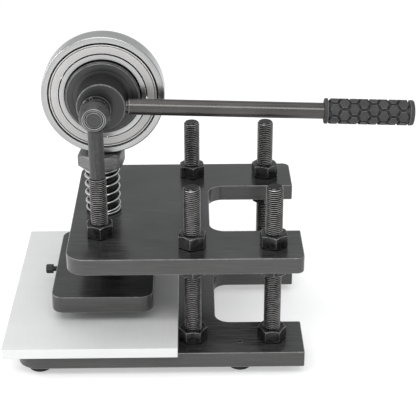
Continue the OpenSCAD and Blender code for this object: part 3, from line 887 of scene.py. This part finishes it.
def make_shaft():
    """Shaft with a groove for each circlip and thinner ends that sit in the eyes, and its two washers."""
    end = high("cam_shaft").y - SHAFT.y
    shoulder = end - 2 * EYE_HALF_WIDTH - 0.6
    groove_r, end_r, chamfer = 9.3, 8, 0.9
    near, far = CIRCLIP_GROOVE
    half = [(SHAFT_R, near), (groove_r, near), (groove_r, far), (SHAFT_R, far), (SHAFT_R, shoulder),
            (end_r, shoulder), (end_r, end - chamfer), (end_r - chamfer, end), (0, end)]
    profile = [(r, -h) for r, h in reversed(half)] + half
    shaft = lathe("cam_shaft_turned", profile, along_shaft(SHAFT), 0.25, 64)
    finish_piece(shaft, "head", "shaft_steel", ["cam_shaft"])
    washer_bore_r, washer_r = SHAFT_R + 0.1, 14
    for node, side in (("thrust_washer_front", 1), ("thrust_washer_rear", -1)):
        near, far = (side * h for h in WASHER_SPAN)
        section = [(washer_bore_r, near), (washer_r, near), (washer_r, far), (washer_bore_r, far)]
        washer = lathe(node + "_turned", section, along_shaft(SHAFT), 0.25, 64, loop=True)
        finish_piece(washer, "head", "shaft_steel", [node])


def make_circlip(node, side):
    """Open ring with two drilled lugs, cut from 1.16 mm spring steel."""
    inner, outer, lug_r, hole_r, lug_at = 9.32, 11.9, 2.0, 0.8, 11.8
    near, far = side * (CIRCLIP_GROOVE[0] + 0.02), side * (CIRCLIP_GROOVE[1] - 0.02)
    gap_at, gap, lug_turn = (math.radians(a) for a in (123, 22, 15))
    steps = 72
    verts, faces = [], []
    for i in range(steps + 1):
        a = gap_at + gap / 2 + (2 * math.pi - gap) * i / steps
        from_gap = min(i, steps - i) / steps
        tapered = outer - max(0.0, 1 - from_gap * 5)
        for r, h in ((tapered, near), (tapered, far), (inner, far), (inner, near)):
            verts.append((r * math.cos(a), r * math.sin(a), h))
    for i in range(steps):
        for k in range(4):
            m = (k + 1) % 4
            faces.append((4 * i + k, 4 * i + m, 4 * (i + 1) + m, 4 * (i + 1) + k))
    faces += [(0, 1, 2, 3), tuple(4 * steps + k for k in range(4))]
    pieces = [make_object(node + "_ring", verts, faces, along_shaft(SHAFT))]
    for turn in (-1, 1):
        a = gap_at + turn * lug_turn
        place = along_shaft(SHAFT + lug_at * Vector((math.cos(a), 0, math.sin(a))))
        section = [(hole_r, near), (lug_r, near), (lug_r, far), (hole_r, far)]
        pieces.append(lathe("lug", section, place, 0.15, 24, loop=True))
    finish_piece(join(node + "_spring_steel", pieces), "head", "circlip_steel", [node])


# ---- Bearing, hub and lever ----

def ball_groove(side):
    """Section of a ball groove, with side -1 in the inner ring and 1 in the outer ring."""
    angles = [math.radians(a) for a in range(-40, 41, 10)]
    return [(BALL_PITCH_R + side * BALL_R * math.cos(a), BALL_R * math.sin(a)) for a in angles]


def make_bearing():
    w = BEARING_HALF_WIDTH
    bore_r, land_r, chamfer = 35, 40.5, 0.9
    inner = [(bore_r, w - chamfer), (bore_r + chamfer, w), (land_r, w)]
    profile = [(r, -h) for r, h in inner] + ball_groove(-1) + inner[::-1]
    ring = lathe("bearing_inner_ring_ground", profile, along_shaft(HUB), 0.3, 160, loop=True)
    finish_piece(ring, "cam", "bearing_steel", ["bearing_inner_ring"])

    # The outer ring's rim is an arc; its bore steps down to the seat of the shield
    rim_r, seat_r, step_r = 1.3, 50, 50.9
    outer = []
    for a in (math.radians(a) for a in range(0, 91, 15)):
        outer.append((BEARING_R - rim_r + rim_r * math.cos(a), w - rim_r + rim_r * math.sin(a)))
    outer += [(step_r + chamfer, w), (step_r, w - chamfer), (step_r, w - 2), (seat_r, w - 2)]
    profile = [(r, -h) for r, h in outer] + ball_groove(1) + outer[::-1]
    ring = lathe("bearing_outer_ring_ground", profile, along_shaft(HUB), 0.35, 160, loop=True)
    finish_piece(ring, "bearing_outer", "bearing_steel", ["bearing_outer_ring"])

    # Each shield is a thin pressed disc with a shallow channel inside its rim
    section = [(41.4, 8.4), (41.4, 9.2), (41.8, 9.4), (47.9, 9.4), (48.4, 8.8), (48.9, 8.8), (49.2, 9.6),
               (seat_r, 9.6), (seat_r, 8.1), (48.4, 8.1), (47.9, 8.4)]
    for node, side in (("bearing_shield_front", 1), ("bearing_shield_rear", -1)):
        profile = [(r, side * h) for r, h in section]
        shield = lathe(node + "_pressed", profile, along_shaft(HUB), 0.15, 160, loop=True)
        finish_piece(shield, "bearing_outer", "shield_steel", [node])


def make_hub():
    """Disc with a boss on each side, bored off its middle for the shaft, with a socket for the lever."""
    reach = high("eccentric_hub").y - HUB.y
    boss_r, boss_chamfer = 22.5, 0.6
    disc_r, disc_chamfer, disc_half_width = 34.9, 1.4, 15
    half = [(0, reach), (boss_r - boss_chamfer, reach), (boss_r, reach - boss_chamfer),
            (boss_r, disc_half_width), (disc_r - disc_chamfer, disc_half_width),
            (disc_r, disc_half_width - disc_chamfer)]
    profile = half + [(r, -h) for r, h in reversed(half)]
    hub = lathe("eccentric_hub_turned", profile, along_shaft(HUB), 0.35, 128)

    bore_r, clear_h = SHAFT_R + 0.05, 45
    section = [(0, clear_h), (bore_r, clear_h), (bore_r, -clear_h), (0, -clear_h)]
    cut(hub, lathe("bore", section, along_shaft(SHAFT), 0.01, 64))

    socket_r, socket_end = ROD_TIP_R + 0.05, ROD_TIP - 0.3
    mouth_from, mouth_to, mouth_r = 21.5, 24, 8
    section = [(0, socket_end), (socket_r, socket_end), (socket_r, mouth_from), (mouth_r, mouth_to),
               (0, mouth_to)]
    cut(hub, lathe("socket", section, along_lever(), 0.01, 48))
    finish_piece(hub, "cam", "hub_steel", ["eccentric_hub"])


def make_lever():
    chamfer = 1
    profile = [(0, ROD_TIP), (ROD_TIP_R - chamfer, ROD_TIP), (ROD_TIP_R, ROD_TIP + chamfer),
               (ROD_TIP_R, ROD_START), (ROD_R - 0.8, ROD_START), (ROD_R, ROD_START + 0.9),
               (ROD_R, ROD_END - chamfer), (ROD_R - chamfer, ROD_END), (0, ROD_END)]
    rod = lathe("lever_rod_turned", profile, along_lever(), 0.3, 64)
    finish_piece(rod, "cam", "lever_steel", ["lever_rod"])


def hexagon_reach(along, across):
    """How far out a point is from a hexagon's middle, up to its flats, which face across."""
    slant = abs(along) * math.cos(math.radians(30)) + abs(across) * 0.5
    return max(abs(across), slant)


def make_grip():
    """Sleeve with raised hexagons: columns of six round it, each column turned half a step."""
    start, end = LEVER_REACH - GRIP_LENGTH, LEVER_REACH
    band_r = GRIP_R - 0.02
    top_r, groove_r, bore_r = band_r - 0.05, band_r - 2, ROD_R + 0.05
    pads_from, pads_to = start + 3.4, end - 4.6
    columns, around = 8, 6
    column_step = 9.0
    first = start + 9.2
    # A regular honeycomb has this width across its flats; round the sleeve it is stretched to fit
    across_flats = column_step / 1.5 * math.sqrt(3)
    pad_reach = across_flats / 2 - 0.8
    slope = 0.4
    end_round, start_ease, end_ease = 2.0, 1.0, 2.2
    rows, steps = 260, 216
    verts = []

    def pads(h, a):
        """Radius of the bands and the raised hexagons."""
        if h < pads_from or h > pads_to:
            return band_r
        best = 0.0
        column = round((h - first) / column_step)
        for c in (column - 1, column, column + 1):
            if not 0 <= c < columns:
                continue
            turns = a / (2 * math.pi) * around - 0.5 * (c % 2)
            across = (turns - round(turns)) * across_flats
            reach = hexagon_reach(h - first - c * column_step, across)
            lift = min(max((pad_reach - reach) / slope, 0.0), 1.0)
            best = max(best, lift * lift * (3 - 2 * lift))
        return groove_r + (top_r - groove_r) * best

    def outside(h, a):
        """The same with both ends rounded over."""
        ease = min(1.0, (h - start) / start_ease, (end - h) / end_ease)
        return pads(h, a) - end_round * (1 - math.sqrt(max(0.0, 1 - (1 - ease) ** 2)))

    def add_ring(h, radius_at):
        for j in range(steps):
            a = 2 * math.pi * j / steps
            r = radius_at(h, a)
            verts.append((r * math.cos(a), r * math.sin(a), h))
        return range(len(verts) - steps, len(verts))

    def plain_ring(r, h):
        return add_ring(h, lambda h, a: r)

    def bands(rings):
        return [(a[j], a[(j + 1) % steps], b[(j + 1) % steps], b[j])
                for a, b in zip(rings, rings[1:]) for j in range(steps)]

    skin = [add_ring(start + (end - start) * i / rows, outside) for i in range(rows + 1)]
    # A shallow round recess in the end, then the blind bore that the rod fills
    skin += [plain_ring(7, end), plain_ring(5, end - 0.4), plain_ring(0, end - 0.4)]
    bore_end = ROD_END + 0.2
    bore = [plain_ring(bore_r, start), plain_ring(bore_r, bore_end), plain_ring(0, bore_end)]
    faces = bands(skin) + bands([skin[0]] + bore)
    grip = make_object("lever_grip_moulded", verts, faces, along_lever(), sharp=60, weighted=False)
    finish_piece(grip, "cam", "grip_rubber", ["lever_grip"])


def paint_cad_nodes():
    """The balls and their cage keep their CAD shapes behind the shields."""
    for node, slot in (("bearing_balls", "ball_steel"), ("bearing_cage", "cage_steel")):
        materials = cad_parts[node].data.materials
        materials.clear()
        materials.append(MATERIALS[slot])


# ---- Plunger, spring and clamp screw ----

def make_plunger():
    """Shank with a thinner spigot through the press plate, under a hexagonal head."""
    bottom, shoulder = low("plunger").z, high("press_plate").z
    head_af, head_turn, overlap = 41, 20, 0.5
    shank_top = PLUNGER_HEAD_Z + overlap
    profile = [(0, bottom), (SPIGOT_R - 1, bottom), (SPIGOT_R, bottom + 1), (SPIGOT_R, shoulder),
               (PLUNGER_R, shoulder), (PLUNGER_R, shank_top), (0, shank_top)]
    shank = lathe("plunger_forged", profile, upright(PRESS_X, PRESS_Y), 0.3, 64)
    head = nut("head", upright(PRESS_X, PRESS_Y, PLUNGER_HEAD_Z, head_turn), af=head_af,
               height=PLUNGER_HEAD_H, bore_r=0, edge=0.9)
    combine(shank, head, "UNION")
    finish_piece(shank, "ram", "hub_steel", ["plunger"], "plunger_steel")
    # Painted shade: the shank below the head gets the darker copy of the plunger's steel.
    paint_below(shank, PLUNGER_HEAD_Z, "shaded_shank_steel")


def make_spring():
    """Right-handed wire coil with a closed turn at each end, stretched between head plate and plunger."""
    wire_r, coil_r, coils = 1.2, 16, 4.5
    gap = 0.1
    start = math.radians(-90)
    bottom = HEAD_TOP + wire_r + gap
    top = PLUNGER_HEAD_Z - wire_r - gap
    rise = (top - bottom - 4 * wire_r) / coils
    turn_steps, sides = 40, 12
    rows = int((coils + 2) * turn_steps)
    verts, faces = [], []
    for i in range(rows + 1):
        turns = i / turn_steps
        a = start + 2 * math.pi * turns
        z = bottom + 2 * wire_r * min(turns, 1) + rise * max(0, min(turns - 1, coils))
        z += 2 * wire_r * max(0, turns - 1 - coils)
        for j in range(sides):
            b = 2 * math.pi * j / sides
            r = coil_r + wire_r * math.cos(b)
            verts.append((r * math.cos(a), r * math.sin(a), z + wire_r * math.sin(b)))
    for i in range(rows):
        for j in range(sides):
            k = (j + 1) % sides
            faces.append((i * sides + j, i * sides + k, (i + 1) * sides + k, (i + 1) * sides + j))
    faces.append(tuple(range(sides - 1, -1, -1)))
    faces.append(tuple(rows * sides + j for j in range(sides)))
    spring = make_object("return_spring_coil", verts, faces, upright(PRESS_X, PRESS_Y), sharp=50,
                         weighted=False)
    spring.data.materials.append(MATERIALS["spring_steel"])
    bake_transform(spring)
    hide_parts("return_spring")


def make_clamp_screw():
    z = middle("plunger_clamp_screw").z
    place = Matrix.Translation((PRESS_X, PRESS_Y, z)) @ Matrix.Rotation(-math.pi / 2, 4, "Y")
    tip = SPIGOT_R + 0.1
    head_end = PRESS_X - low("plunger_clamp_screw").x
    neck = head_end - 7
    thread_r, head_r = 2.5, 4.6
    knurl_depth, ridges = 0.18, 32

    def knurl(a, r, h):
        if r > thread_r + 1.5 and neck + 0.6 < h < head_end - 0.9:
            return r - knurl_depth * (1 - abs(math.sin(ridges / 2 * a)))
        return r

    # Doubled points at both ends of the head keep the knurl's ends short
    profile = [(0, tip), (thread_r, tip), (thread_r, neck), (head_r, neck), (head_r, neck + 0.8),
               (head_r, neck + 1.2), (head_r, head_end - 1.2), (head_r, head_end - 0.8),
               (head_r - 0.5, head_end), (0, head_end)]
    screw = lathe("plunger_clamp_screw_turned", profile, place, 0.25, 192, wave=knurl)
    socket_place = place @ Matrix.Translation((0, 0, head_end - 3))
    cut(screw, nut("socket", socket_place, af=4, height=6, bore_r=0, edge=0.1))
    finish_piece(screw, "ram", "nut_steel", ["plunger_clamp_screw"], "screw_steel")


# ---- Studio ----

def make_floor():
    """Wide sheet of pale paper, a hair below the feet. It glows a little, as a lit backdrop does."""
    reach = 60
    corners = [(-reach, -reach, 0), (reach, -reach, 0), (reach, reach, 0), (-reach, reach, 0)]
    mesh = bpy.data.meshes.new("studio_floor")
    mesh.from_pydata(corners, [], [(0, 1, 2, 3)])
    floor = bpy.data.objects.new("studio_floor", mesh)
    floor.location.z = -0.2 * MM
    bpy.context.scene.collection.objects.link(floor)
    n = Nodes("studio_paper", Roughness=0.9, Specular_IOR_Level=0.1, Emission_Color=grey(1),
              Emission_Strength=0.42)
    n.link("Base Color", n.mix(n.noise(2, detail=2), grey(0.66), grey(0.68)))
    mesh.materials.append(n.material)


def area_light(name, at, towards, size, watts):
    data = bpy.data.lights.new(name, "AREA")
    data.shape = "RECTANGLE"
    data.size, data.size_y = size
    data.energy = watts
    light = bpy.data.objects.new(name, data)
    light.location = at
    light.rotation_euler = (Vector(towards) - Vector(at)).to_track_quat("-Z", "Y").to_euler()
    bpy.context.scene.collection.objects.link(light)


def make_lights():
    """Even studio air, a little brighter overhead, and softboxes in front, above and at the left."""
    world = bpy.data.worlds.new("studio")
    bpy.context.scene.world = world
    world.use_nodes = True
    tree = world.node_tree
    direction = tree.nodes.new("ShaderNodeTexCoord")
    height = tree.nodes.new("ShaderNodeSeparateXYZ")
    ramp = tree.nodes.new("ShaderNodeMapRange")
    ramp.inputs["To Min"].default_value = 0.68
    ramp.inputs["To Max"].default_value = 0.72
    tree.links.new(direction.outputs["Generated"], height.inputs[0])
    tree.links.new(height.outputs["Z"], ramp.inputs["Value"])
    tree.links.new(ramp.outputs["Result"], tree.nodes["Background"].inputs["Strength"])
    tree.nodes["Background"].inputs["Color"].default_value = (0.98, 0.99, 1, 1)
    area_light("key_front", (-0.1, -1.0, 1.3), (0, 0, 0.15), (1.5, 0.45), 11)
    area_light("soft_above", (-0.3, 0.1, 1.5), (0, 0, 0.1), (1.2, 1.2), 4)
    area_light("fill_front", (0.2, -1.6, 0.5), (0, 0, 0.12), (1.6, 0.6), 1.5)
    area_light("side_left", (-1.4, -0.5, 0.6), (0, 0, 0.15), (0.4, 1.0), 9)


def make_camera():
    """The photograph's viewing angle: 26 degrees down, from in front, through a long lens."""
    data = bpy.data.cameras.new("camera")
    data.lens = 105.38
    data.sensor_width = 36
    camera = bpy.data.objects.new("camera", data)
    pitch, yaw, roll = (math.radians(a) for a in (26.024, 0.665, -0.217))
    forward = Vector((math.sin(yaw) * math.cos(pitch), math.cos(yaw) * math.cos(pitch), -math.sin(pitch)))
    right = Vector((math.cos(yaw), -math.sin(yaw), 0))
    up = right.cross(forward)
    level_right = right * math.cos(roll) + up * math.sin(roll)
    level_up = up * math.cos(roll) - right * math.sin(roll)
    rows = (level_right, level_up, -forward)
    turn = Matrix([[rows[c][r] for c in range(3)] for r in range(3)]).to_4x4()
    camera.matrix_world = Matrix.Translation(Vector((-10.2, -1080.1, 649.1)) * MM) @ turn
    bpy.context.scene.collection.objects.link(camera)
    bpy.context.scene.camera = camera
    bpy.context.scene.view_settings.view_transform = "Standard"


make_camera()
make_plates()
make_studs()
make_nuts()
make_feet()
for bolt_node in EYE_BOLT_NODES:
    make_eye_bolt(bolt_node)
make_shaft()
make_circlip("circlip_front", 1)
make_circlip("circlip_rear", -1)
make_bearing()
make_hub()
make_lever()
make_grip()
make_plunger()
make_spring()
make_clamp_screw()
paint_cad_nodes()
make_floor()
make_lights()
